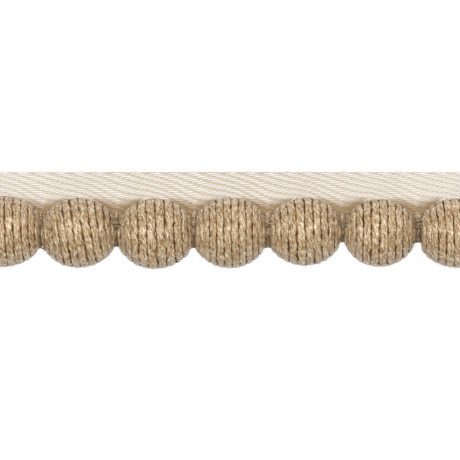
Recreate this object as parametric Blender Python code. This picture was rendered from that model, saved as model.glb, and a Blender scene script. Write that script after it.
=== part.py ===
"""Jute ball trim: a row of jute-wound balls on a core cord, along the lower edge of a cotton twill tape.

The trim lies face up. X runs along it, +Y points to the tape's free edge, and Z = 0 is the surface under the tape.
Sizes are in millimetres here, and each mesh is scaled to metres when it is finished.
"""

import math
from collections import namedtuple

import bmesh
import bpy
from mathutils import Vector

METRES = 0.001

# The row of balls, left to right.
# centre: place along X; half_length: from the middle to a pole; offset: the ball's middle above the row's axis in Y;
# left_pole, right_pole: radius of the winding at its two ends; tilt: lean of the winding in degrees.
Ball = namedtuple("Ball", "name centre half_length diameter offset left_pole right_pole tilt")
BALLS = (
    Ball("jute_ball_1", -59.00, 9.49, 18.6, 0.33, 3.8, 4.3, 0.0),
    Ball("jute_ball_2", -39.50, 9.62, 18.4, -0.04, 3.8, 3.7, 10.0),
    Ball("jute_ball_3", -19.55, 9.67, 18.5, -0.31, 3.5, 3.7, 4.0),
    Ball("jute_ball_4", 0.13, 9.10, 18.6, -0.05, 4.4, 4.0, 1.0),
    Ball("jute_ball_5", 19.70, 9.15, 17.9, 0.22, 4.4, 2.9, 0.0),
    Ball("jute_ball_6", 38.90, 9.31, 17.8, -0.09, 2.9, 2.9, -3.0),
    Ball("jute_ball_7", 59.00, 9.36, 18.2, -0.13, 3.9, 3.8, 0.0),
)

# The necks between the balls, left to right.
# lift: height of the pucker that the sewing draws up in the tape; reach: how far the tape goes below the row's axis.
Neck = namedtuple("Neck", "lift reach")
NECKS = (
    Neck(2.4, 3.6),
    Neck(2.6, 3.7),
    Neck(2.3, 3.8),
    Neck(2.5, 3.7),
    Neck(2.2, 2.5),
    Neck(2.5, 2.4),
)

CLEARANCE = 0.3

# Winding
TURNS = 11
SIDES = 18
ROW_HEIGHTS = (-1.0, 0.0, 0.0)
ROWS_PER_TURN = len(ROW_HEIGHTS)
TURN_DEPTH = 0.45
POLE_STEP = 0.75
FLAT_DEPTH = 0.2
SEAM_ANGLE = math.radians(280.0)

# Core cord
CORE_RADIUS = 1.75
CORE_OFFSET = -0.1
CORE_HEIGHT = 10.2
CORE_LENGTH = 140.4
CORE_SIDES = 16
BORE_RADIUS = CORE_RADIUS + CLEARANCE
BORE_WALL = 0.3

# Twill tape
TAPE_LENGTH = 141.0
TAPE_TOP = 16.0
TAPE_THICKNESS = 1.0
TAPE_COLUMNS = 72
TAPE_ROWS = 10
ROW_BIAS = 1.25
PUCKER_REACH = 7.0
PUCKER_CREST = 1.5
PUCKER_END = 12.0
EDGE_DROP = 0.3

BALL_BOTTOM = TAPE_THICKNESS + CLEARANCE
LOWEST_BALL_EDGE = min(ball.offset - 0.5 * ball.diameter for ball in BALLS)
# The row's axis lies here, so that the part's origin is in the middle of its box.
AXIS_Y = -0.5 * (TAPE_TOP + LOWEST_BALL_EDGE)

JUTE_COLOUR = (0.46, 0.32, 0.19, 1.0)
CORE_COLOUR = (0.22, 0.15, 0.10, 1.0)
COTTON_COLOUR = (0.78, 0.72, 0.62, 1.0)


def clear_scene():
    """Remove what the scene starts with."""
    for item in list(bpy.data.objects):
        bpy.data.objects.remove(item, do_unlink=True)


def make_material(name, colour, roughness):
    """A plain matt fibre of one colour."""
    material = bpy.data.materials.new(name)
    material.use_nodes = True
    shader = material.node_tree.nodes["Principled BSDF"]
    shader.inputs["Base Color"].default_value = colour
    shader.inputs["Roughness"].default_value = roughness
    shader.inputs["Metallic"].default_value = 0.0
    material.diffuse_color = colour
    return material


def make_object(name, shape, material):
    """Turn a finished bmesh in millimetres into an object in metres."""
    shape.normal_update()
    bmesh.ops.recalc_face_normals(shape, faces=shape.faces)
    bmesh.ops.scale(shape, vec=(METRES, METRES, METRES), verts=shape.verts)
    mesh = bpy.data.meshes.new(name)
    shape.to_mesh(mesh)
    shape.free()
    mesh.materials.append(material)
    mesh.shade_smooth()
    mesh.set_sharp_from_angle(angle=math.radians(50.0))
    item = bpy.data.objects.new(name, mesh)
    bpy.context.scene.collection.objects.link(item)
    return item


def ease(start, end, value):
    """A soft step: 0 at start, 1 at end, level at both."""
    share = min(max((value - start) / (end - start), 0.0), 1.0)
    return share * share * (3.0 - 2.0 * share)


def neck_places():
    """The middle of each gap between two balls, along X."""
    places = []
    for left, right in zip(BALLS, BALLS[1:]):
        left_end = left.centre + left.half_length
        right_end = right.centre - right.half_length
        places.append(0.5 * (left_end + right_end))
    return places


def pole_angle(ball, pole_radius):
    """Angle on the ball's profile, from its middle, at which the winding stops with that radius."""
    return math.acos(pole_radius / (0.5 * ball.diameter))


def ball_middle(ball):
    """The ball's middle: its flat spot lies just above the tape."""
    height = BALL_BOTTOM + 0.5 * ball.diameter - FLAT_DEPTH
    return Vector((ball.centre, AXIS_Y + ball.offset, height))


def bore_middle(x):
    """The core cord's middle at a place along the trim."""
    return Vector((x, AXIS_Y + CORE_OFFSET, CORE_HEIGHT))


def stopping_radius(ball, pole_radius):
    """Radius at the strand's very end, which winds in a little further than the pole's mean radius."""
    shift = (ball_middle(ball) - bore_middle(ball.centre)).length
    return max(pole_radius - POLE_STEP, BORE_RADIUS + BORE_WALL + shift)


def winding_point(ball, share, angle, height):
    """A point on the wound surface.

    share runs from 0 at the left end of the strand to 1 at its right end, angle goes round the row's axis,
    and height is measured from the crest of the turns.
    """
    radius = 0.5 * ball.diameter
    left_angle = pole_angle(ball, stopping_radius(ball, ball.left_pole))
    right_angle = pole_angle(ball, stopping_radius(ball, ball.right_pole))
    along = 2.0 * share - 1.0
    lean = math.tan(math.radians(ball.tilt)) * math.cos(angle) * (1.0 - along ** 4)
    profile = -left_angle + (left_angle + right_angle) * share - lean
    end_angle = left_angle if profile < 0.0 else right_angle
    half_axis = ball.half_length / math.sin(end_angle)
    distance = radius * math.cos(profile) + height
    along_row = half_axis * math.sin(profile)
    return ball_middle(ball) + Vector((along_row, distance * math.cos(angle), distance * math.sin(angle)))


def bore_point(x, angle):
    """A point on the hole that the core cord fills."""
    return bore_middle(x) + BORE_RADIUS * Vector((0.0, math.cos(angle), math.sin(angle)))


def make_ball(ball, material):
    """One closed solid: a surface that winds round and round, two end faces, and the bore for the core."""
    shape = bmesh.new()
    rows = TURNS * ROWS_PER_TURN
    longest = TURNS + (SIDES - 1) / SIDES
    angles = [SEAM_ANGLE + math.tau * seat / SIDES for seat in range(SIDES)]
    winding = []
    for row in range(rows + 1):
        ring = []
        for seat, angle in enumerate(angles):
            share = (row / ROWS_PER_TURN + seat / SIDES) / longest
            height = ROW_HEIGHTS[row % ROWS_PER_TURN] * TURN_DEPTH
            point = winding_point(ball, share, angle, height)
            point.z = max(point.z, BALL_BOTTOM)
            ring.append(shape.verts.new(point))
        winding.append(ring)

    for row in range(rows):
        for seat in range(SIDES - 1):
            here = winding[row]
            above = winding[row + 1]
            shape.faces.new((here[seat], here[seat + 1], above[seat + 1], above[seat]))
    # The last seat of each row joins the first seat of the next turn, so that the turns run on as one strand.
    for row in range(rows - ROWS_PER_TURN):
        last = (winding[row][-1], winding[row + 1][-1])
        first = (winding[row + ROWS_PER_TURN][0], winding[row + ROWS_PER_TURN + 1][0])
        shape.faces.new((last[0], first[0], first[1], last[1]))

    left_bore = [shape.verts.new(bore_point(ball.centre - ball.half_length, angle)) for angle in angles]
    right_bore = [shape.verts.new(bore_point(ball.centre + ball.half_length, angle)) for angle in angles]
    for seat in range(SIDES):
        after = (seat + 1) % SIDES
        shape.faces.new((left_bore[seat], right_bore[seat], right_bore[after], left_bore[after]))
    for seat in range(SIDES - 1):
        shape.faces.new((left_bore[seat], left_bore[seat + 1], winding[0][seat + 1], winding[0][seat]))
        shape.faces.new((right_bore[seat], winding[rows][seat], winding[rows][seat + 1], right_bore[seat + 1]))

    left_step = [winding[row][0] for row in range(ROWS_PER_TURN + 1)]
    right_step = [winding[rows - row][-1] for row in range(ROWS_PER_TURN + 1)]
    shape.faces.new([left_bore[-1], left_bore[0]] + left_step + [winding[0][-1]])
    shape.faces.new([right_bore[0], right_bore[-1]] + right_step + [winding[rows][0]])
    bmesh.ops.triangulate(shape, faces=shape.faces, quad_method="BEAUTY", ngon_method="BEAUTY")
    return make_object(ball.name, shape, material)


def make_core(material):
    """The cord through all the balls, cut straight at both ends."""
    shape = bmesh.new()
    bmesh.ops.create_cone(
        shape,
        cap_ends=True,
        segments=CORE_SIDES,
        radius1=CORE_RADIUS,
        radius2=CORE_RADIUS,
        depth=CORE_LENGTH,
    )
    for vertex in shape.verts:
        across, up, along = vertex.co
        vertex.co = bore_middle(along) + Vector((0.0, across, up))
    return make_object("core_cord", shape, material)


def tape_reach(x):
    """How far the tape goes below the row's axis: it follows the necks, where it is sewn to the core."""
    places = neck_places()
    if x <= places[0]:
        return NECKS[0].reach
    for left, right, near, far in zip(places, places[1:], NECKS, NECKS[1:]):
        if x <= right:
            return near.reach + (far.reach - near.reach) * ease(left, right, x)
    return NECKS[-1].reach


def pucker(x, y):
    """Height of the tape's back above the surface under it, with y measured from the row's axis."""
    height = 0.0
    for place, neck in zip(neck_places(), NECKS):
        distance = abs(x - place)
        if distance < PUCKER_REACH:
            height += neck.lift * math.cos(0.5 * math.pi * distance / PUCKER_REACH) ** 2
    height *= ease(PUCKER_END, PUCKER_CREST, y)
    return height * (1.0 - EDGE_DROP * ease(0.0, -NECKS[0].reach, y))


def make_tape(material):
    """One sheet, flat on the surface but for the puckers between the balls."""
    shape = bmesh.new()
    bmesh.ops.create_grid(shape, x_segments=TAPE_COLUMNS, y_segments=TAPE_ROWS, size=0.5)
    for vertex in shape.verts:
        x = vertex.co.x * TAPE_LENGTH
        low = -tape_reach(x)
        y = low + (TAPE_TOP - low) * (vertex.co.y + 0.5) ** ROW_BIAS
        vertex.co = Vector((x, AXIS_Y + y, pucker(x, y)))
    top = bmesh.ops.extrude_face_region(shape, geom=list(shape.faces), use_keep_orig=True)
    raised = [item for item in top["geom"] if isinstance(item, bmesh.types.BMVert)]
    bmesh.ops.translate(shape, vec=(0.0, 0.0, TAPE_THICKNESS), verts=raised)
    bmesh.ops.triangulate(shape, faces=shape.faces)
    return make_object("twill_tape", shape, material)


def main():
    clear_scene()
    jute = make_material("jute", JUTE_COLOUR, 0.85)
    core = make_material("jute_core", CORE_COLOUR, 0.9)
    cotton = make_material("cotton_twill", COTTON_COLOUR, 0.9)
    make_tape(cotton)
    make_core(core)
    for ball in BALLS:
        make_ball(ball, jute)


main()
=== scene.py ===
"""Looks of a jute ball trim: jute strand wound into balls on a core cord, along a cotton twill tape.

The trim lies face up, X runs along it, +Y points to the tape's free edge, and the camera looks down on it.
Over and below the row's axis mean along +Y and -Y, as in the picture.
Lengths are in metres. A number times MM, or one that a comment gives in mm, is in millimetres.
"""

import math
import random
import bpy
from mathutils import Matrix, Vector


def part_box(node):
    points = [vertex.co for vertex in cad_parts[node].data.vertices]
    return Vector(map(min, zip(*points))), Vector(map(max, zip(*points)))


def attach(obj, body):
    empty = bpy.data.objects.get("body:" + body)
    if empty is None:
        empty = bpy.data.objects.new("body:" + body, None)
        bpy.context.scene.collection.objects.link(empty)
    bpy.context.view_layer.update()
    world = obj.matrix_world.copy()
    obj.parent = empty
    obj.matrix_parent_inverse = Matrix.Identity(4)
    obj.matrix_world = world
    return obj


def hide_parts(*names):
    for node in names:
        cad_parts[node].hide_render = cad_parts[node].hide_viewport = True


bl_info = {
    "name": "Jute Ball Trim",
    "version": (1, 0, 0),
    "blender": (4, 5, 0),
    "location": "3D View > Sidebar > Trim",
    "description": "Winds the balls, weaves the tape and lights a length of jute ball trim",
    "category": "Object",
}

from collections import namedtuple

import bmesh
import bpy
from mathutils import Vector, noise

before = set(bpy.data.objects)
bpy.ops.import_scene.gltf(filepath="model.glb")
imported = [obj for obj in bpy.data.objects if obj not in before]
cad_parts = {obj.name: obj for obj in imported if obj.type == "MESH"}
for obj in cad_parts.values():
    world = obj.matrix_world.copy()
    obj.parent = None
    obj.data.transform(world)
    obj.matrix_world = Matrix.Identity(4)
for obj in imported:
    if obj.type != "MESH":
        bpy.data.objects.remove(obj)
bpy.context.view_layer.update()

MM = 0.001
WHITE = (1.0, 1.0, 1.0, 1.0)

# How each ball is wound.
# turns: times that the strand goes round. left_pole, right_pole: outer radius of the winding's ends, in mm.
# tilt: lean of the turns in degrees, beyond that of their own pitch. seed: picks the ball's unevenness.
Winding = namedtuple("Winding", "node turns left_pole right_pole tilt seed")
WINDINGS = (
    Winding("jute_ball_1", 12, 3.8, 5.3, 0.0, 11),
    Winding("jute_ball_2", 12, 3.5, 4.4, 6.0, 23),
    Winding("jute_ball_3", 11, 3.6, 4.6, 0.0, 37),
    Winding("jute_ball_4", 12, 5.0, 4.5, -1.0, 41),
    Winding("jute_ball_5", 11, 5.0, 3.7, 0.0, 53),
    Winding("jute_ball_6", 12, 3.0, 3.5, -3.0, 67),
    Winding("jute_ball_7", 12, 5.0, 3.8, 0.0, 71),
)

# The necks between the balls, left to right, in mm.
# lift: height of the tape's pucker. reach: how far the tape goes below the row's axis.
# wrap: outer radius of the binding.
Neck = namedtuple("Neck", "lift reach wrap")
NECKS = (
    Neck(2.4, 3.6, 3.9),
    Neck(2.6, 3.7, 3.5),
    Neck(2.3, 3.8, 3.8),
    Neck(2.5, 3.7, 3.7),
    Neck(2.2, 2.5, 2.3),
    Neck(2.5, 2.4, 2.4),
)

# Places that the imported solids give. The core lies a little off the row's axis.
CORE_LOW, CORE_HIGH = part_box("core_cord")
CORE_MIDDLE = 0.5 * (CORE_LOW + CORE_HIGH)
CORE_RADIUS = 0.5 * (CORE_HIGH.z - CORE_LOW.z)
CORE_OFFSET = -0.1 * MM
AXIS_Y = CORE_MIDDLE.y - CORE_OFFSET
TAPE_LOW, TAPE_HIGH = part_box("twill_tape")
TAPE_LENGTH = TAPE_HIGH.x - TAPE_LOW.x
TAPE_TOP = TAPE_HIGH.y - AXIS_Y
BALL_BOXES = [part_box(winding.node) for winding in WINDINGS]
NECK_PLACES = [0.5 * (left[1].x + right[0].x) for left, right in zip(BALL_BOXES, BALL_BOXES[1:])]
NECK_GAPS = [right[0].x - left[1].x for left, right in zip(BALL_BOXES, BALL_BOXES[1:])]

# The winding: the flat that a ball lies on, where round the ball it starts, and how finely it is drawn
FLAT_DEPTH = 0.2 * MM
SEAM_ANGLE = math.radians(280.0)
STEPS_PER_TURN = 96
STRAND_SIDES = 18
PLIES = 3

# Its ends: the part of a turn in which they fill out, and the shares of width and height that they have
# at first
TUCK_TURNS = 0.45
TUCKED_WIDTH = 0.4
TUCKED_HEIGHT = 0.6

# Its unevenness, as waves of noise on the way round. amount: share of the wave. pace: waves in a radian.
# pick: added to the ball's seed, so that each wave is its own.
Wave = namedtuple("Wave", "amount pace pick")
STRAY_WAVES = (Wave(0.4, 0.8, 0), Wave(0.9, 7.0, 5))
SWELL_WAVES = (Wave(1.0, 1.1, 9),)
WIDTH_WAVES = (Wave(0.1, 2.6, 3), Wave(0.16, 7.4, 4))

# Powers by which straying and lean die out toward the poles: the higher, the nearer to them
STRAY_POWER = 8
LEAN_POWER = 4

# Less painted shade in the grooves at a ball's left end, its right end and its lower side. amount: share of
# a groove's painted
# shade taken away. start, end: where that sets in and is full, from 0 at the middle to 1 at that end or
# side.
ShadeFade = namedtuple("ShadeFade", "amount start end")
LEFT_FADE = ShadeFade(0.3, 0.45, 0.85)
RIGHT_FADE = ShadeFade(0.1, 0.5, 0.9)
LOWER_FADE = ShadeFade(0.12, 0.4, 0.95)

# Shade on a strand that has no neighbours
BARE_SHADE = 0.1

# The packing: how far it goes past the strand's middle line, its length as a share of the oval's that the
# winding is cut from, its height off the floor, and its shade
PACKING_RISE = 0.35 * MM
PACKING_LENGTH = 0.96
PACKING_LIFT = 0.2 * MM
PACKING_SHADE = 0.2

# Loose fibres on the balls: length and half thickness in mm, rise and bend as shares of the length, how soon
# the rise turns back, the share of thickness lost at the tip, slant out of the turns' direction, root as a
# share of the strand's thickness, and least height off the floor
HAIR_SEED = 7
HAIR_PIECES = 5
HAIR_SIDES = 3
HAIR_LENGTH = (1.2, 3.6)
HAIR_THIN = (0.02, 0.05)
HAIR_RISE = (0.05, 0.35)
HAIR_BEND = (-0.7, 0.7)
HAIR_CURL = 1.2
HAIR_TAPER = 0.6
HAIR_SLANT = (-0.6, 0.6)
HAIR_ROOT = 0.45
HAIR_LIFT = 1.0 * MM

# The core cord
CORE_SEED = 3
CORE_STEPS = 180
CORE_SWAY = 0.05 * MM
CORE_LAY = 16.0 * MM
CORE_GROOVE = 0.18

# The bindings: half thickness, how far past half the gap they go, how far out they are drawn to the tape, at
# what angle and how sharply, and the heights over the row's axis between which they take the core's painted
# shade, darker lower in the neck.
# Angles round the core start at the tape's free edge and go up from there.
BINDING_SEED = 20
BINDING_HALF = 0.45 * MM
BINDING_OVERLAP = 0.15 * MM
BINDING_REACH = 8.3 * MM
BINDING_AIM = math.radians(-62.0)
BINDING_SHARPNESS = 3
BINDING_SHADE = (3.0 * MM, 0.5 * MM)
BINDING_SWAY = 0.08 * MM
BINDING_LAY = 9.0 * MM
BINDING_GROOVE = 0.15
BINDING_STEPS = 60
BINDING_SIDES = 12

# Locks of fibre over the necks: angles in degrees round the core on its two sides, skew in degrees, and in
# mm the least height over the binding, largest radius, length past half the gap, half thickness, and rise
# of the ends
LOCK_SEED = 31
LOCK_PIECES = 8
LOCK_SIDES = 5
UPPER_LOCKS = (27.0, 64.0)
LOWER_LOCKS = (160.0, 200.0)
LOCK_SKEW = (-14.0, 14.0)
LOCK_LIFT = 0.2
LOCK_RADIUS = 4.8
LOCK_LENGTH = (0.7, 1.5)
LOCK_THIN = (0.07, 0.16)
LOCK_FLARE = 0.7
# Share of the core's painted shade on the locks
LOCK_SHADE = 0.4

# The tape's puckers, as in the solids: how far along they reach, the heights over the row's axis between
# which they run out, and the share that they lose down to the tape's lower edge
PUCKER_REACH = 7.0 * MM
PUCKER_CREST = 1.5 * MM
PUCKER_END = 12.0 * MM
EDGE_DROP = 0.3

# How the warp is drawn down at the necks: how far along it goes, how blunt it is, and the heights over the
# row's axis between which it sets in and fades
DIP_REACH = 8.0 * MM
DIP_BLUNT = 0.12
DIP_START = (-3.0 * MM, 4.0 * MM)
DIP_FADE = (15.8 * MM, 7.0 * MM)

# Jute dust and painted shade on the tape in the folds by the necks: distances from a neck between which
# nearness and darkening grow, and heights over the row's axis between which it sets in. Then its upper
# brink: height and its rise near a neck, in mm, slope away from the neck, and how far it may go past the
# ball.
DUST_AND_SHADE_NEAR = (6.0 * MM, 1.0 * MM)
DUST_AND_SHADE_SIDE = (7.5 * MM, 5.5 * MM)
DUST_AND_SHADE_FOOT = (0.5 * MM, 3.5 * MM)
BRINK_HEIGHT = 6.9
BRINK_RISE = 0.6
BRINK_SLOPE = 0.4
BRINK_PAST_BALL = 0.3 * MM

# Softness of that brink: how far a halo of painted shadow from the balls goes past it and what nearness
# adds, in mm, how far below it the halo is full, and between which depths the fold itself darkens with dust
# and painted shade
HALO_WIDTH = 0.5
HALO_GROWTH = 1.3
HALO_DEPTH = 0.5 * MM
FOLD_DEPTH = (-0.3 * MM, 1.7 * MM)

# Lighter stripes in the painted dust and shade, fanning out in each fold along its gathers: waves in a
# radian and their turn, the height over the row's axis that they fan out from, the share of the dust and
# shade that they take away, and how much less that is where it is full
GATHER_WAVES = 11.0
GATHER_TURN = 2.0
GATHER_ROOT = 4.6 * MM
GATHER_SHARE = 0.35
GATHER_LOSS = 0.7

# The ground under the warp: its grid, and how far it stays inside the tape's edges
GROUND_COLUMNS = 188
GROUND_ROWS = 40
GROUND_MARGIN = 0.12 * MM

# The twill, in picks: its repeat, the place where a yarn is under, the middle of its float, and the
# distances from the place under between which a yarn comes up and its slant sets in
TWILL_REPEAT = 4.0
TWILL_UNDER = 3.5
FLOAT_MIDDLE = 1.5
FLOAT_RISE = (0.3, 1.5)
SLANT_RISE = (0.0, 0.6)
STEPS_PER_PICK = 2

# A warp yarn, in mm: half thickness, width where it is under and what a float adds to it, how far a float
# comes up and how deep the place under is, its straying, and its loose ends. Then its uneven thickness.
WARP_SEED = 19
WARP_SIDES = 6
WARP_HALF = 0.17
WARP_NARROW = 0.29
WARP_SPREAD = 0.15
WARP_RISE = 0.34
WARP_SINK = 0.2
WARP_STRAY = 0.02
WARP_LOOSE = 0.5
WARP_UNEVEN = (0.94, 1.06)

# Yarns at each edge of the tape: how many, the share by which they are kept up and shaded, and how much more
# they stray, in mm
EDGE_YARNS = 1
EDGE_HOLD = 0.6
EDGE_STRAY = 0.1

# The stage
FLOOR_REACH = 3.0
FLOOR_DROP = 0.2 * MM
LAMP_PLACE = Vector((0.0, 0.17, 0.94))
LAMP_AIM = Vector((0.0, 0.0, 0.0))
LAMP_SIZE = 0.35


def paint(red, green, blue):
    """A screen colour, 0 to 255, as Blender's linear colour."""
    linear = []
    for level in (red, green, blue):
        share = level / 255.0
        linear.append(share / 12.92 if share <= 0.04045 else ((share + 0.055) / 1.055) ** 2.4)
    return (*linear, 1.0)


def ease(start, end, value):
    """A soft step: 0 at start, 1 at end, level at both."""
    share = min(max((value - start) / (end - start), 0.0), 1.0)
    return share * share * (3.0 - 2.0 * share)


def wavering(place, seed):
    """An uneven number from about -1 to 1 that changes over one unit of place."""
    return noise.noise(Vector((place, 0.37 * seed, 1.9))) * 1.3


def unevenness(waves, turned, seed):
    """The sum of waves of noise at a place on the strand's way round a ball, in radians from its start."""
    return sum(wave.amount * wavering(wave.pace * turned, seed + wave.pick) for wave in waves)


def number_property(name, description, default):
    return bpy.props.FloatProperty(name=name, description=description, default=default, min=0.0)


def length_property(name, description, default):
    return bpy.props.FloatProperty(
        name=name, description=description, default=default, unit="LENGTH", precision=5
    )


def share_property(name, description, default):
    return bpy.props.FloatProperty(name=name, description=description, default=default, subtype="FACTOR")


def count_property(name, description, default, least):
    return bpy.props.IntProperty(name=name, description=description, default=default, min=least)


def colour_property(name, description, default):
    return bpy.props.FloatVectorProperty(
        name=name, description=description, default=default, size=4, min=0.0, max=1.0, subtype="COLOR"
    )


class StrandSettings(bpy.types.PropertyGroup):
    """Jute strand of the balls, and the jute of the core and necks."""

    thickness: length_property("Thickness", "Strand's thickness, out from the ball", 1.86 * MM)
    lay: length_property("Lay", "Length in which the strand's plies turn once", 34.0 * MM)
    groove: share_property("Groove", "Depth of the grooves between the plies", 0.07)
    squareness: number_property("Squareness", "2 is a round strand, and more a squarer one", 3.6)
    wander: length_property("Wander", "How far a turn strays sideways", 0.22 * MM)
    swell: length_property("Swell", "How far a turn strays in and out", 0.06 * MM)
    fill: share_property("Fill", "Strand's width as a share of the pitch", 1.14)
    hairs: count_property("Hairs", "Loose fibres on each ball", 70, 0)
    bridges: count_property("Bridges", "Locks of fibre on the tape's side of each neck", 26, 0)
    light: colour_property("Light fibre", "Colour of the brightest fibres", paint(236, 220, 188))
    middle: colour_property("Fibre", "Colour of most of the fibres", paint(185, 160, 126))
    dark: colour_property("Dark fibre", "Colour of the darkest fibres", paint(126, 93, 54))
    rust: colour_property("Rust", "Colour of the few reddish fibres", paint(178, 131, 72))
    # Crevice: painted shade deep between the turns, put on the grooves as a matt colour
    crevice: colour_property("Crevice", "Colour deep between the turns", paint(90, 56, 24))
    gloss: colour_property("Gloss", "Tint of the fibres' gloss", paint(255, 240, 218))
    # Core shade tone: painted shade multiplied into the jute of the core, bindings and locks down in the
    # necks
    core_shade_tone: colour_property("Core tone", "Darkens fibres down in the necks", (0.34, 0.29, 0.27, 1.0))


class TapeSettings(bpy.types.PropertyGroup):
    """Twill tape."""

    width: length_property("Width", "Flat width of the tape", 20.0 * MM)
    pick: length_property("Pick", "Distance from one weft thread to the next", 1.25 * MM)
    ends: count_property("Ends", "Warp yarns across the tape", 55, 4)
    thickness: length_property("Ground", "Thickness of the ground under the warp yarns", 0.62 * MM)
    dip: length_property("Dip", "How far the warp is drawn down at the necks", 2.3 * MM)
    slant: length_property("Slant", "How far a float's left end lies down and its right end up", 0.15 * MM)
    # Light and shaded cotton are lit and shaded copies of the one cream cotton, and the weft is that cotton
    # in deeper painted shade
    light: colour_property("Light cotton", "Colour of the yarn's crests", paint(240, 238, 235))
    shade: colour_property("Shaded cotton", "Colour of the cotton between the yarns", paint(211, 199, 181))
    weft: colour_property("Weft", "Colour of the weft where it is darkest", paint(190, 168, 132))
    # Dust and shade: jute dust and painted shade on the cotton in the folds by the necks
    dusk: colour_property("Dusk", "Colour of the cotton in the folds by the necks", paint(158, 128, 86))


class StageSettings(bpy.types.PropertyGroup):
    """Camera, floor and light."""

    picture_width: length_property("Picture width", "Width in view at the row's axis", 119.6 * MM)
    picture_shift: length_property("Picture shift", "Height of the view's middle over the axis", 0.65 * MM)
    lens: number_property("Lens", "Focal length in millimetres", 240.0)
    floor_colour: colour_property("Floor", "Colour of the floor under its own glow", paint(90, 90, 90))
    floor_glow: number_property("Floor glow", "Light that the floor gives out", 0.95)
    fill_strength: number_property("Fill", "Strength of the light all round", 0.22)
    key_power: bpy.props.FloatProperty(
        name="Key", description="Power of the large lamp", default=9.0, min=0.0, unit="POWER"
    )


class Value:
    """A number that a node puts out, so that shader sums read as plain expressions."""

    def __init__(self, finish, socket):
        self.finish = finish
        self.socket = socket

    def combine(self, operation, first, second):
        made = self.finish.node("ShaderNodeMath", {"operation": operation}, {0: first, 1: second})
        return Value(self.finish, made.outputs[0])

    def __add__(self, other):
        return self.combine("ADD", self, other)

    def __radd__(self, other):
        return self.combine("ADD", other, self)

    def __sub__(self, other):
        return self.combine("SUBTRACT", self, other)

    def __rsub__(self, other):
        return self.combine("SUBTRACT", other, self)

    def __mul__(self, other):
        return self.combine("MULTIPLY", self, other)

    def __rmul__(self, other):
        return self.combine("MULTIPLY", other, self)


class Finish:
    """A material while its nodes are being laid."""

    def __init__(self, name, roughness):
        self.material = bpy.data.materials.new(name)
        self.material.use_nodes = True
        self.tree = self.material.node_tree
        self.shader = self.tree.nodes["Principled BSDF"]
        self.shader.inputs["Roughness"].default_value = roughness

    def node(self, kind, settings=None, inputs=None):
        """Add a node: its settings first, then the values or links of its sockets."""
        made = self.tree.nodes.new(kind)
        for name, value in (settings or {}).items():
            setattr(made, name, value)
        for name, value in (inputs or {}).items():
            self.put(made.inputs[name], value)
        return made

    def put(self, socket, value):
        """Set a socket's value, or link a number or another socket to it."""
        if isinstance(value, Value):
            self.tree.links.new(value.socket, socket)
        elif isinstance(value, bpy.types.NodeSocket):
            self.tree.links.new(value, socket)
        else:
            socket.default_value = value

    def attribute(self, name):
        """A number that the mesh carries at its points."""
        return Value(self, self.node("ShaderNodeAttribute", {"attribute_name": name}).outputs["Fac"])

    def cloth_place(self):
        """Place along and across the yarn or cloth, in millimetres, from the piece's own UV map."""
        place = self.node("ShaderNodeUVMap").outputs["UV"]
        parts = self.node("ShaderNodeSeparateXYZ", None, {0: place})
        return Value(self, parts.outputs[0]), Value(self, parts.outputs[1])

    def streaks(self, along, across, layer, detail=2.0):
        """Noise on a place in millimetres, another for each layer.

        A smaller share of along or across draws it out that way.
        """
        place = self.node("ShaderNodeCombineXYZ", None, {0: along, 1: across, 2: layer}).outputs[0]
        made = self.node("ShaderNodeTexNoise", None, {"Vector": place, "Scale": 1.0, "Detail": detail})
        return Value(self, made.outputs[0])

    def spread(self, value, low, high):
        """Stretch a number so that low becomes 0 and high becomes 1, and stay within those."""
        inputs = {"Value": value, "From Min": low, "From Max": high}
        return Value(self, self.node("ShaderNodeMapRange", {"clamp": True}, inputs).outputs[0])

    def blend(self, factor, first, second, kind="MIX"):
        """Mix two colours."""
        settings = {"data_type": "RGBA", "blend_type": kind}
        return self.node("ShaderNodeMix", settings, {0: factor, 6: first, 7: second}).outputs[2]

    def bump(self, height, distance):
        """Raise the surface by a height of 0 to 1 times a distance."""
        inputs = {"Height": height, "Distance": distance}
        self.put(self.shader.inputs["Normal"], self.node("ShaderNodeBump", None, inputs).outputs[0])

    def colour(self, value):
        self.put(self.shader.inputs["Base Color"], value)

    def matt_where(self, factor, colour):
        """Put a matt colour without any gloss in the place of the main shader, where the factor is 1."""
        matt = self.node("ShaderNodeBsdfDiffuse", None, {"Color": colour}).outputs[0]
        mixed = self.node("ShaderNodeMixShader", None, {0: factor, 1: self.shader.outputs[0], 2: matt})
        self.put(self.tree.nodes["Material Output"].inputs["Surface"], mixed.outputs[0])


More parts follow.
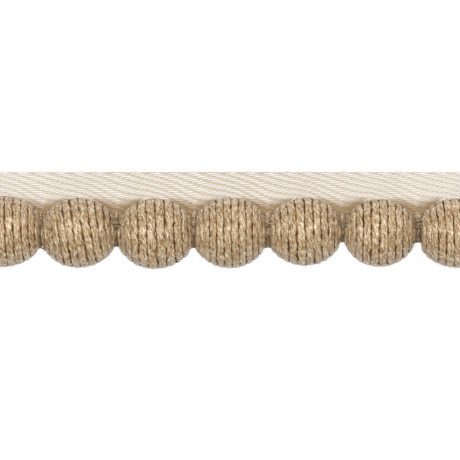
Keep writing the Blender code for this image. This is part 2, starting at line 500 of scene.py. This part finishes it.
def jute_finish(name, strand, tone=None):
    """Glossy fibres in brown, tan and cream, with painted shade between the turns.

    Where dusk is 1, a tone paints shade on them, as down in the necks.
    """
    finish = Finish(name, 0.24)
    along, across = finish.cloth_place()
    crevice = finish.attribute("crevice")
    patch = finish.streaks(0.45 * along, 0.6 * across, 0.0)
    lock = finish.streaks(0.7 * along, 2.4 * across, 3.0)
    fibre = finish.streaks(1.8 * along, 5.0 * across, 7.0, 3.0)
    grain = finish.streaks(3.4 * along, 3.0 * across, 23.0)
    lightness = finish.spread(0.4 * lock + 0.25 * fibre + 0.15 * patch + 0.2 * grain, 0.43, 0.57)
    brown_to_tan = finish.blend(finish.spread(lightness, 0.0, 0.5), tuple(strand.dark), tuple(strand.middle))
    fibres = finish.blend(finish.spread(lightness, 0.5, 1.0), brown_to_tan, tuple(strand.light))
    rust = finish.spread(finish.streaks(0.8 * along, 1.8 * across, 17.0), 0.5, 0.64)
    tinted = finish.blend(0.7 * rust, fibres, tuple(strand.rust))
    # Painted shade down in the necks: the tone darkens where dusk is 1
    if tone is not None:
        toned = finish.blend(1.0, tinted, tone, "MULTIPLY")
        tinted = finish.blend(finish.attribute("dusk"), tinted, toned)
    finish.colour(tinted)
    finish.put(finish.shader.inputs["Specular IOR Level"], 1.0)
    finish.put(finish.shader.inputs["Specular Tint"], tuple(strand.gloss))
    finish.bump(0.3 * fibre + 0.5 * lock + 0.2 * grain, 0.5 * MM)
    # Painted shade in the grooves between the turns: a matt dark colour where the depth is great enough
    opening = finish.streaks(0.5 * along, 0.0, 11.0, 4.0)
    groove = finish.spread(crevice * (3.2 * opening + 2.6 * grain - 1.9), 0.13, 0.24)
    finish.matt_where(groove, tuple(strand.crevice))
    return finish.material


def cotton_finish(name, tape):
    """Soft cream cotton yarn, with painted light on the crests and painted shade between the floats, though
    less so toward the trim's two ends.
    """
    finish = Finish(name, 0.8)
    along, across = finish.cloth_place()
    crevice = finish.attribute("crevice")
    fibre = finish.streaks(0.9 * along, 9.0 * across, 0.0)
    patch = finish.streaks(0.12 * along, 0.5 * across, 5.0)
    outward = along * (2.0 * MM / TAPE_LENGTH) - 1.0
    shade = finish.spread(crevice + 0.25 * fibre, 0.25, 0.85) * (1.0 - 0.75 * outward * outward)
    cotton = finish.blend(shade, tuple(tape.light), tuple(tape.shade))
    mottled = finish.blend(0.12 * finish.spread(patch, 0.3, 0.7), cotton, tuple(tape.shade))
    # Jute dust and painted shade in the folds by the necks, stronger between the yarns
    dusk = finish.attribute("dusk") * (0.85 + 0.5 * crevice)
    finish.colour(finish.blend(dusk, mottled, tuple(tape.dusk)))
    finish.bump(fibre, 0.06 * MM)
    return finish.material


def ground_finish(name, tape):
    """The weft and the undersides of the warp, seen between the floats, in the colours of painted shade."""
    finish = Finish(name, 0.9)
    along, across = finish.cloth_place()
    fibre = finish.streaks(3.0 * along, 3.0 * across, 0.0, 4.0)
    weft = finish.blend(finish.spread(fibre, 0.3, 0.7), tuple(tape.shade), tuple(tape.weft))
    # Jute dust and painted shade in the folds by the necks
    finish.colour(finish.blend(finish.attribute("dusk"), weft, tuple(tape.dusk)))
    finish.bump(fibre, 0.1 * MM)
    return finish.material


def new_shape():
    """A bmesh with a UV map for places on a yarn, whose points carry their depth between yarns, which sets
    painted shade, and their jute dust and painted shade.
    """
    shape = bmesh.new()
    shape.loops.layers.uv.new("UVMap")
    shape.verts.layers.float.new("crevice")
    shape.verts.layers.float.new("dusk")
    return shape


def finish_piece(name, shape, material):
    """Turn a bmesh into a piece that rides on the trim, with the finish that it is given."""
    bmesh.ops.recalc_face_normals(shape, faces=shape.faces)
    mesh = bpy.data.meshes.new(name)
    shape.to_mesh(mesh)
    shape.free()
    mesh.materials.append(material)
    mesh.shade_smooth()
    piece = bpy.data.objects.new(name, mesh)
    bpy.context.scene.collection.objects.link(piece)
    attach(piece, "root")
    return piece


# One place on a strand's middle line.
# point: where it is. out: direction away from what it lies on. wide, high: its half sizes across and out.
# deep, dusk: how far down it lies between its neighbours, which sets painted shade, and its jute dust and
# painted shade in the folds and necks, 0 to 1.
# left_gap, right_gap: how clear the groove at each flank is, which sets its painted shade, down to 0 where
# no neighbour lies.
Station = namedtuple(
    "Station", "point out wide high deep dusk left_gap right_gap", defaults=(0.0, 0.0, 1.0, 1.0)
)


def pressed(angle, squareness):
    """How far out a round section goes at an angle once it is pressed square: 1 on its flat sides."""
    return (abs(math.sin(angle)) ** squareness + abs(math.cos(angle)) ** squareness) ** (-1.0 / squareness)


def add_strand(
    shape, stations, sides, lay=0.0, plies=0, groove=0.0, squareness=2.0, lowest=None, bare=False
):
    """Sweep a twisted strand along its stations, as a tube.

    Nothing of it goes below lowest, and a bare one has no neighbours to shade its flanks.
    """
    count = len(stations) - 1
    made = bmesh.ops.create_grid(shape, x_segments=count, y_segments=sides, size=0.5, calc_uvs=True)
    uv_layer = shape.loops.layers.uv.active
    crevice_layer = shape.verts.layers.float["crevice"]
    dust_and_shade_layer = shape.verts.layers.float["dusk"]
    travelled = [0.0]
    for before, after in zip(stations, stations[1:]):
        travelled.append(travelled[-1] + (after.point - before.point).length)
    frames = []
    for index, station in enumerate(stations):
        ahead = stations[min(index + 1, count)].point - stations[max(index - 1, 0)].point
        ahead.normalize()
        out = (station.out - ahead * station.out.dot(ahead)).normalized()
        frames.append((out, ahead.cross(out)))
    ring = []
    for seat in range(sides + 1):
        angle = math.tau * seat / sides
        valley = (0.5 + 0.5 * math.cos(plies * angle)) ** 2 if plies else 0.0
        ring.append((angle, 1.0 - groove * valley))
    edge = []
    for vertex in made["verts"]:
        index = round((vertex.co.x + 0.5) * count)
        seat = round((vertex.co.y + 0.5) * sides)
        station = stations[index]
        out, across = frames[index]
        angle, size = ring[seat]
        if lay:
            angle -= math.tau * travelled[index] / lay
        rise = math.cos(angle)
        size *= pressed(angle, squareness)
        vertex.co = station.point + out * (rise * size * station.high)
        vertex.co += across * (math.sin(angle) * size * station.wide)
        if lowest is not None:
            vertex.co.z = max(vertex.co.z, lowest)
        # Painted shade toward the strand's underside and flanks, where it lies in the groove
        gap = station.left_gap if math.sin(angle) > 0.0 else station.right_gap
        vertex[crevice_layer] = max(station.deep, BARE_SHADE if bare else gap * (0.5 - 0.5 * rise))
        vertex[dust_and_shade_layer] = station.dusk
        if seat in (0, sides):
            edge.append(vertex)
    middle = stations[count // 2]
    girth = math.pi * (middle.wide + middle.high)
    for face in {face for vertex in made["verts"] for face in vertex.link_faces}:
        for loop in face.loops:
            along, around = loop[uv_layer].uv
            loop[uv_layer].uv = (travelled[round(along * count)] / MM, around * girth / MM)
    bmesh.ops.remove_doubles(shape, verts=edge, dist=1e-6)


def close_ends(shape):
    """Cap every strand's open ends."""
    bmesh.ops.holes_fill(shape, edges=[item for item in shape.edges if item.is_boundary], sides=0)


class BallForm:
    """The rounded form that a strand is wound to, as its solid has it.

    A place on it has a profile, which runs from minus the left angle at its left pole to the right angle at
    its right one, and an angle round it, which starts at the tape's free edge and goes up from there.
    """

    def __init__(self, winding, strand):
        low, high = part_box(winding.node)
        half_thickness = 0.5 * strand.thickness
        self.winding = winding
        self.radius = 0.5 * (high.y - low.y)
        self.lowest = low.z
        self.middle = 0.5 * (low + high)
        self.middle.z = low.z + self.radius - FLAT_DEPTH
        self.line_radius = self.radius - half_thickness
        self.line_half = 0.5 * (high.x - low.x) - half_thickness
        if not half_thickness < min(winding.left_pole, winding.right_pole) * MM:
            raise ValueError(f"A strand of this thickness can't be wound to the poles of {winding.node}")
        self.left_angle = math.acos((winding.left_pole * MM - half_thickness) / self.line_radius)
        self.right_angle = math.acos((winding.right_pole * MM - half_thickness) / self.line_radius)

    def half_axis(self, profile):
        """Half length of the whole oval that this side of the form is cut from."""
        return self.line_half / math.sin(self.left_angle if profile < 0.0 else self.right_angle)

    def point(self, profile, angle, rise=0.0):
        """A point on the surface in which the strand's middle line lies, or so far out from it."""
        out = self.outward(profile, angle)
        reach = self.line_radius * math.cos(profile)
        along = self.half_axis(profile) * math.sin(profile)
        return self.middle + Vector((along, reach * math.cos(angle), reach * math.sin(angle))) + out * rise

    def outward(self, profile, angle):
        return Vector((
            math.sin(profile),
            math.cos(profile) * math.cos(angle),
            math.cos(profile) * math.sin(angle),
        ))

    def pitch(self, profile):
        """Distance from one turn to the next, along the ball's profile."""
        turn = (self.left_angle + self.right_angle) / (self.winding.turns - 1)
        along = self.half_axis(profile) * math.cos(profile)
        inward = self.line_radius * math.sin(profile)
        return turn * math.hypot(along, inward)


def shade_taken(groove_fade, place):
    """Share of a groove's painted shade that a fade takes away at a place toward its end or side of the
    ball.
    """
    return groove_fade.amount * ease(groove_fade.start, groove_fade.end, place)


def groove_gaps(turns, along, angle):
    """How clear the grooves to the left and right of the strand are, at a place from -1 to 1 along its ball.

    Their painted shade is less toward the ball's ends and on its lower side, away from the tape's free edge.
    The first and last turns have no neighbour on their outer side.
    """
    gap = 1.0 - shade_taken(LEFT_FADE, -along) - shade_taken(RIGHT_FADE, along) - shade_taken(LOWER_FADE, -math.cos(angle))
    one_turn = 2.0 / (turns - 1)
    left_gap = gap * ease(0.8 * one_turn, 1.1 * one_turn, 1.0 + along)
    right_gap = gap * ease(0.8 * one_turn, 1.1 * one_turn, 1.0 - along)
    return left_gap, right_gap


def winding_stations(ball, strand):
    """The strand's way round and round the ball, from its left pole to its right.

    Its first and last half turns lie level at the poles, where the ends are tucked in.
    """
    winding = ball.winding
    lean = math.tan(math.radians(winding.tilt))
    stations = []
    for step in range(winding.turns * STEPS_PER_TURN + 1):
        rounds = step / STEPS_PER_TURN
        share = min(max((rounds - 0.5) / (winding.turns - 1), 0.0), 1.0)
        filled = ease(0.0, TUCK_TURNS, min(rounds, winding.turns - rounds))
        turned = math.tau * rounds
        angle = SEAM_ANGLE + turned
        along = 2.0 * share - 1.0
        stray = unevenness(STRAY_WAVES, turned, winding.seed)
        profile = -ball.left_angle + (ball.left_angle + ball.right_angle) * share
        profile += (1.0 - along ** STRAY_POWER) * strand.wander * stray / ball.line_radius
        profile -= lean * math.cos(angle) * (1.0 - along ** LEAN_POWER)
        wide = 0.5 * strand.fill * ball.pitch(profile)
        wide *= 1.0 + unevenness(WIDTH_WAVES, turned, winding.seed)
        wide *= TUCKED_WIDTH + (1.0 - TUCKED_WIDTH) * filled
        high = 0.5 * strand.thickness * (TUCKED_HEIGHT + (1.0 - TUCKED_HEIGHT) * filled)
        rise = strand.swell * unevenness(SWELL_WAVES, turned, winding.seed)
        rise -= 0.5 * strand.thickness - high
        place = ball.point(profile, angle, rise)
        out = ball.outward(profile, angle)
        gaps = groove_gaps(winding.turns, along, angle)
        stations.append(Station(place, out, wide, high, 0.0, 0.0, *gaps))
    return stations


def add_packing(shape, ball):
    """The layer under the strand, seen only between the turns."""
    made = bmesh.ops.create_uvsphere(shape, u_segments=48, v_segments=24, radius=1.0, calc_uvs=True)
    crevice_layer = shape.verts.layers.float["crevice"]
    uv_layer = shape.loops.layers.uv.active
    reach = ball.line_radius + PACKING_RISE
    for vertex in made["verts"]:
        side, depth, along = vertex.co
        half = PACKING_LENGTH * ball.half_axis(along)
        place = ball.middle + Vector((along * half, side * reach, depth * reach))
        place.z = max(place.z, ball.lowest + PACKING_LIFT)
        vertex.co = place
        vertex[crevice_layer] = PACKING_SHADE
    for face in {face for vertex in made["verts"] for face in vertex.link_faces}:
        for loop in face.loops:
            around, along = loop[uv_layer].uv
            loop[uv_layer].uv = (around * math.tau * reach / MM, along * math.pi * reach / MM)


def wind_ball(ball, strand, material):
    """One ball: its strand from pole to pole, over its packing."""
    shape = new_shape()
    stations = winding_stations(ball, strand)
    section = (STRAND_SIDES, strand.lay, PLIES, strand.groove, strand.squareness)
    add_strand(shape, stations, *section, lowest=ball.lowest)
    close_ends(shape)
    add_packing(shape, ball)
    name = ball.winding.node.replace("jute_ball", "wound_ball")
    piece = finish_piece(name, shape, material)
    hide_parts(ball.winding.node)


def add_hair(shape, draw, root, out, run):
    """One loose fibre: it leaves the strand at a low angle and curls back a little."""
    length = draw.uniform(*HAIR_LENGTH) * MM
    rise = draw.uniform(*HAIR_RISE)
    bend = draw.uniform(*HAIR_BEND)
    side = out.cross(run)
    thin = draw.uniform(*HAIR_THIN) * MM
    stations = []
    for step in range(HAIR_PIECES + 1):
        share = step / HAIR_PIECES
        place = root + run * (length * share)
        place += out * (length * rise * share * (HAIR_CURL - share))
        place += side * (length * bend * share * share)
        size = thin * (1.0 - HAIR_TAPER * share)
        stations.append(Station(place, out, size, size))
    add_strand(shape, stations, HAIR_SIDES)


def raise_hairs(balls, strand, material):
    """The loose fibres of all the balls, as one piece."""
    shape = new_shape()
    draw = random.Random(HAIR_SEED)
    for ball in balls:
        for _ in range(strand.hairs):
            profile = draw.uniform(-ball.left_angle, ball.right_angle)
            angle = draw.uniform(0.0, math.tau)
            out = ball.outward(profile, angle)
            root = ball.point(profile, angle, HAIR_ROOT * strand.thickness)
            if root.z < ball.lowest + HAIR_LIFT:
                continue
            run = Vector((0.0, -math.sin(angle), math.cos(angle))) * draw.choice((-1.0, 1.0))
            run += Vector((draw.uniform(*HAIR_SLANT), 0.0, 0.0))
            run = (run - out * run.dot(out)).normalized()
            add_hair(shape, draw, root, out, run)
    close_ends(shape)
    finish_piece("jute_hairs", shape, material)


def run_core(material):
    """The cord through the balls: three plies, cut straight."""
    shape = new_shape()
    up = Vector((0.0, 0.0, 1.0))
    stations = []
    for step in range(CORE_STEPS + 1):
        x = CORE_LOW.x + (CORE_HIGH.x - CORE_LOW.x) * step / CORE_STEPS
        sway = CORE_SWAY * wavering(0.4 * step, CORE_SEED)
        point = Vector((x, CORE_MIDDLE.y + sway, CORE_MIDDLE.z))
        # The whole core takes the full painted shade of the necks
        stations.append(Station(point, up, CORE_RADIUS, CORE_RADIUS, 0.0, 1.0))
    add_strand(shape, stations, STRAND_SIDES, CORE_LAY, PLIES, CORE_GROOVE, bare=True)
    close_ends(shape)
    piece = finish_piece("core_rope", shape, material)
    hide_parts("core_cord")


def add_binding(shape, neck, place, gap, seed):
    """A flat strand bound once round the core at a neck, and drawn down to the tape on one side."""
    wrap = neck.wrap * MM
    stations = []
    for step in range(BINDING_STEPS + 1):
        turned = math.tau * step / BINDING_STEPS
        pull = max(math.cos(turned - BINDING_AIM), 0.0) ** BINDING_SHARPNESS
        reach = wrap - BINDING_HALF + (BINDING_REACH - wrap) * pull
        out = Vector((0.0, math.cos(turned), math.sin(turned)))
        x = place + BINDING_SWAY * wavering(1.3 * turned, seed)
        point = CORE_MIDDLE + Vector((x, 0.0, 0.0)) + out * reach
        # Painted shade, darker lower down in the neck
        dusk = ease(*BINDING_SHADE, point.y - AXIS_Y)
        stations.append(Station(point, out, 0.5 * gap + BINDING_OVERLAP, BINDING_HALF, 0.0, dusk))
    add_strand(shape, stations, BINDING_SIDES, BINDING_LAY, PLIES, BINDING_GROOVE, bare=True)


def add_lock(shape, draw, place, gap, angles, radius):
    """A thin lock of fibre that passes over a neck from ball to ball, at a place round the core."""
    angle = math.radians(draw.uniform(*angles))
    skew = math.radians(draw.uniform(*LOCK_SKEW))
    half_length = 0.5 * gap + draw.uniform(*LOCK_LENGTH) * MM
    thin = draw.uniform(*LOCK_THIN) * MM
    stations = []
    for step in range(LOCK_PIECES + 1):
        share = 2.0 * step / LOCK_PIECES - 1.0
        turned = angle + skew * share
        out = Vector((0.0, math.cos(turned), math.sin(turned)))
        reach = radius + LOCK_FLARE * MM * share * share
        centre = Vector((place + half_length * share, CORE_MIDDLE.y, CORE_MIDDLE.z))
        stations.append(Station(centre + out * reach, out, thin, thin, 0.0, LOCK_SHADE))
    add_strand(shape, stations, LOCK_SIDES, bare=True)


def bind_necks(strand, material):
    """The bindings at all the necks, under locks of loose fibre that lie thickest on the tape's side."""
    shape = new_shape()
    for index, (neck, place, gap) in enumerate(zip(NECKS, NECK_PLACES, NECK_GAPS)):
        add_binding(shape, neck, place, gap, BINDING_SEED + index)
        draw = random.Random(LOCK_SEED + index)
        for _ in range(strand.bridges):
            radius = draw.uniform(neck.wrap + LOCK_LIFT, LOCK_RADIUS) * MM
            add_lock(shape, draw, place, gap, UPPER_LOCKS, radius)
        for _ in range(strand.bridges // 3):
            add_lock(shape, draw, place, gap, LOWER_LOCKS, neck.wrap * MM)
    close_ends(shape)
    finish_piece("neck_bindings", shape, material)


def tape_reach(x):
    """How far the tape goes below the row's axis: it follows the necks, where it is sewn to the core."""
    if x <= NECK_PLACES[0]:
        return NECKS[0].reach * MM
    for left, right, near, far in zip(NECK_PLACES, NECK_PLACES[1:], NECKS, NECKS[1:]):
        if x <= right:
            return (near.reach + (far.reach - near.reach) * ease(left, right, x)) * MM
    return NECKS[-1].reach * MM


def pucker(x, y):
    """Height of the tape's back above the floor, with y measured from the row's axis."""
    height = 0.0
    for place, neck in zip(NECK_PLACES, NECKS):
        distance = abs(x - place)
        if distance < PUCKER_REACH:
            height += neck.lift * MM * math.cos(0.5 * math.pi * distance / PUCKER_REACH) ** 2
    height *= ease(PUCKER_END, PUCKER_CREST, y)
    return height * (1.0 - EDGE_DROP * ease(0.0, -NECKS[0].reach * MM, y))


def neck_distance(x):
    return min(abs(x - place) for place in NECK_PLACES)


def neck_share(x):
    """How near a neck a place is: 0 at the middle of a ball, nearly straight up, and blunt at the neck."""
    share = max(1.0 - neck_distance(x) / DIP_REACH, 0.0)
    return share - DIP_BLUNT * ease(0.7, 1.0, share)


def cloth_point(tape, along, across, height):
    """A point of the tape: along it from its left end, across it from its lower edge, and above its back."""
    x = TAPE_LOW.x + along
    reach = tape_reach(x)
    y = (TAPE_TOP + reach) * across / tape.width - reach
    y -= tape.dip * neck_share(x) * ease(*DIP_START, y) * ease(*DIP_FADE, y)
    return Vector((x, AXIS_Y + y, pucker(x, y) + height))


def cloth_dust_and_shade(point):
    """How far a place of the tape lies down in the fold between two balls, from 0 to 1, as its share of jute
    dust and painted shade.
    """
    ball = min(BALL_BOXES, key=lambda box: abs(point.x - 0.5 * (box[0].x + box[1].x)))
    neck = min(NECK_PLACES, key=lambda place: abs(point.x - place))
    distance = neck_distance(point.x)
    height = point.y - AXIS_Y
    near = ease(*DUST_AND_SHADE_NEAR, distance)
    brink = (BRINK_HEIGHT + BRINK_RISE * near) * MM + BRINK_SLOPE * distance
    below = min(brink, ball[1].y - AXIS_Y + BRINK_PAST_BALL) - height
    # Painted shadow of the balls on the tape, just past the brink
    halo = ease(-(HALO_WIDTH + HALO_GROWTH * near) * MM, HALO_DEPTH, below)
    fold = ease(*FOLD_DEPTH, below)
    dusk = 0.5 * halo + 0.5 * fold
    # Lighter stripes in the painted dust and shade that fan out from each neck
    bearing = math.atan2(max(height - GATHER_ROOT, 0.0), point.x - neck)
    gather = 0.5 + 0.5 * math.cos(GATHER_WAVES * bearing + GATHER_TURN)
    dusk *= 1.0 - GATHER_SHARE * gather * (1.0 - GATHER_LOSS * dusk)
    return dusk * ease(*DUST_AND_SHADE_FOOT, height) * ease(*DUST_AND_SHADE_SIDE, distance)


def cloth_out(tape, along, across):
    """The tape's outward direction at a place."""
    nudge = 0.3 * MM
    here = cloth_point(tape, along, across, 0.0)
    ahead = cloth_point(tape, along + nudge, across, 0.0) - here
    aside = cloth_point(tape, along, across + nudge, 0.0) - here
    return ahead.cross(aside).normalized()


def lay_ground(tape, material):
    """The tape's ground: one thin sheet on the folds of its solid."""
    shape = new_shape()
    made = bmesh.ops.create_grid(
        shape, x_segments=GROUND_COLUMNS, y_segments=GROUND_ROWS, size=0.5, calc_uvs=True
    )
    uv_layer = shape.loops.layers.uv.active
    dust_and_shade_layer = shape.verts.layers.float["dusk"]
    for vertex in made["verts"]:
        along = (vertex.co.x + 0.5) * TAPE_LENGTH
        across = GROUND_MARGIN + (vertex.co.y + 0.5) * (tape.width - 2.0 * GROUND_MARGIN)
        vertex.co = cloth_point(tape, along, across, 0.0)
        vertex[dust_and_shade_layer] = cloth_dust_and_shade(vertex.co)
    for face in shape.faces:
        for loop in face.loops:
            along, across = loop[uv_layer].uv
            loop[uv_layer].uv = (along * TAPE_LENGTH / MM, across * tape.width / MM)
    top = bmesh.ops.extrude_face_region(shape, geom=list(shape.faces), use_keep_orig=True)
    raised = [item for item in top["geom"] if isinstance(item, bmesh.types.BMVert)]
    bmesh.ops.translate(shape, vec=(0.0, 0.0, tape.thickness), verts=raised)
    return finish_piece("tape_ground", shape, material)


def warp_station(tape, yarn, along, thick):
    """A warp yarn's place at a length along the tape: up on its float, or down where it goes under."""
    spacing = tape.width / tape.ends
    edging = EDGE_HOLD if min(yarn, tape.ends - 1 - yarn) < EDGE_YARNS else 0.0
    phase = (along / tape.pick + yarn) % TWILL_REPEAT
    away = abs(phase - TWILL_UNDER)
    away = min(away, TWILL_REPEAT - away)
    over = ease(*FLOAT_RISE, away)
    over += edging * (1.0 - over)
    slant = (1.0 - edging) * tape.slant * (phase - FLOAT_MIDDLE) / FLOAT_MIDDLE * ease(*SLANT_RISE, away)
    stray = (WARP_STRAY + EDGE_STRAY * edging) * MM * wavering(along / MM, yarn)
    across = (yarn + 0.5) * spacing + slant + stray
    height = tape.thickness + (WARP_RISE * over - WARP_SINK) * MM
    point = cloth_point(tape, along, across, height)
    below = cloth_point(tape, along, across - 0.5 * spacing, height)
    stretch = (point - below).length / (0.5 * spacing)
    wide = 0.5 * stretch * (WARP_NARROW + WARP_SPREAD * over) * MM * thick
    high = WARP_HALF * MM * thick
    out = cloth_out(tape, along, across)
    # Painted shade where the yarn goes under, and on the edge yarns
    return Station(point, out, wide, high, max(1.0 - over, edging), cloth_dust_and_shade(point))


def weave_warp(tape, material):
    """The warp yarns of a three over, one under twill, each laid on the ground along its own dips."""
    shape = new_shape()
    draw = random.Random(WARP_SEED)
    steps = int(TAPE_LENGTH / tape.pick) * STEPS_PER_PICK
    for yarn in range(tape.ends):
        thick = draw.uniform(*WARP_UNEVEN)
        start = -draw.uniform(0.0, WARP_LOOSE) * MM
        end = TAPE_LENGTH + draw.uniform(0.0, WARP_LOOSE) * MM
        places = [start + (end - start) * step / steps for step in range(steps + 1)]
        stations = [warp_station(tape, yarn, along, thick) for along in places]
        add_strand(shape, stations, WARP_SIDES)
    close_ends(shape)
    return finish_piece("tape_warp", shape, material)


def lay_floor(stage):
    """A pale floor just under the trim, with some light of its own."""
    shape = bmesh.new()
    bmesh.ops.create_grid(shape, x_segments=1, y_segments=1, size=FLOOR_REACH)
    bmesh.ops.translate(shape, vec=(0.0, 0.0, -FLOOR_DROP), verts=shape.verts)
    mesh = bpy.data.meshes.new("floor")
    shape.to_mesh(mesh)
    shape.free()
    finish = Finish("pale_floor", 0.9)
    finish.colour(tuple(stage.floor_colour))
    finish.put(finish.shader.inputs["Emission Color"], WHITE)
    finish.put(finish.shader.inputs["Emission Strength"], stage.floor_glow)
    mesh.materials.append(finish.material)
    floor = bpy.data.objects.new("floor", mesh)
    bpy.context.scene.collection.objects.link(floor)


def hang_lamp(power):
    """A square soft lamp, high up on the tape's side and pointed at the middle of the trim."""
    data = bpy.data.lights.new("key_lamp", "AREA")
    data.size = LAMP_SIZE
    data.energy = power
    lamp = bpy.data.objects.new("key_lamp", data)
    lamp.location = LAMP_PLACE
    lamp.rotation_euler = (LAMP_AIM - LAMP_PLACE).to_track_quat("-Z", "Y").to_euler()
    bpy.context.scene.collection.objects.link(lamp)


def light_all_round(strength):
    """A white surrounding that lights the trim from every side."""
    world = bpy.data.worlds.new("studio")
    world.use_nodes = True
    back = world.node_tree.nodes["Background"]
    back.inputs["Color"].default_value = WHITE
    back.inputs["Strength"].default_value = strength
    bpy.context.scene.world = world


def set_camera(stage):
    """Straight down on the trim, with the tape at the top of the picture."""
    data = bpy.data.cameras.new("camera")
    data.lens = stage.lens
    data.clip_start = 0.01
    data.clip_end = 20.0
    camera = bpy.data.objects.new("camera", data)
    away = stage.picture_width * data.lens / data.sensor_width
    camera.location = (0.0, AXIS_Y + stage.picture_shift, CORE_MIDDLE.z + away)
    bpy.context.scene.collection.objects.link(camera)
    bpy.context.scene.camera = camera


class TRIM_OT_wind_balls(bpy.types.Operator):
    """Wind the jute strand into the row of balls, with its loose fibres."""

    bl_idname = "trim.wind_balls"
    bl_label = "Wind the balls"

    def execute(self, context):
        strand = context.scene.trim_strand
        material = jute_finish("jute_strand", strand)
        balls = [BallForm(winding, strand) for winding in WINDINGS]
        for ball in balls:
            wind_ball(ball, strand, material)
        raise_hairs(balls, strand, material)
        return {"FINISHED"}


class TRIM_OT_run_core(bpy.types.Operator):
    """Run the core cord through the balls and bind it at the necks."""

    bl_idname = "trim.run_core"
    bl_label = "Run the core cord"

    def execute(self, context):
        strand = context.scene.trim_strand
        material = jute_finish("jute_core", strand, tuple(strand.core_shade_tone))
        run_core(material)
        bind_necks(strand, material)
        return {"FINISHED"}


class TRIM_OT_weave_tape(bpy.types.Operator):
    """Lay the twill tape under the balls and weave its warp."""

    bl_idname = "trim.weave_tape"
    bl_label = "Weave the tape"

    def execute(self, context):
        tape = context.scene.trim_tape
        ground = lay_ground(tape, ground_finish("tape_ground", tape))
        warp = weave_warp(tape, cotton_finish("tape_warp", tape))
        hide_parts("twill_tape")
        return {"FINISHED"}


class TRIM_OT_set_stage(bpy.types.Operator):
    """Set the camera, the pale floor and the soft light."""

    bl_idname = "trim.set_stage"
    bl_label = "Set the stage"

    def execute(self, context):
        stage = context.scene.trim_stage
        set_camera(stage)
        lay_floor(stage)
        hang_lamp(stage.key_power)
        light_all_round(stage.fill_strength)
        context.scene.view_settings.view_transform = "Standard"
        return {"FINISHED"}


class TRIM_PT_panel(bpy.types.Panel):
    """Lists the sizes and colours of the trim, and the steps that make it."""

    bl_idname = "TRIM_PT_panel"
    bl_label = "Jute ball trim"
    bl_space_type = "VIEW_3D"
    bl_region_type = "UI"
    bl_category = "Trim"

    def draw(self, context):
        for group in (context.scene.trim_strand, context.scene.trim_tape, context.scene.trim_stage):
            box = self.layout.box()
            for name in group.__annotations__:
                box.prop(group, name)
        for operator in OPERATORS:
            self.layout.operator(operator.bl_idname)


GROUPS = {"trim_strand": StrandSettings, "trim_tape": TapeSettings, "trim_stage": StageSettings}
OPERATORS = (TRIM_OT_wind_balls, TRIM_OT_run_core, TRIM_OT_weave_tape, TRIM_OT_set_stage)


def register():
    for name, group in GROUPS.items():
        bpy.utils.register_class(group)
        setattr(bpy.types.Scene, name, bpy.props.PointerProperty(type=group))
    for operator in OPERATORS:
        bpy.utils.register_class(operator)
    bpy.utils.register_class(TRIM_PT_panel)


def unregister():
    bpy.utils.unregister_class(TRIM_PT_panel)
    for operator in reversed(OPERATORS):
        bpy.utils.unregister_class(operator)
    for name, group in GROUPS.items():
        delattr(bpy.types.Scene, name)
        bpy.utils.unregister_class(group)


def main():
    register()
    bpy.ops.trim.set_stage()
    bpy.ops.trim.wind_balls()
    bpy.ops.trim.run_core()
    bpy.ops.trim.weave_tape()


if __name__ == "__main__":
    main()
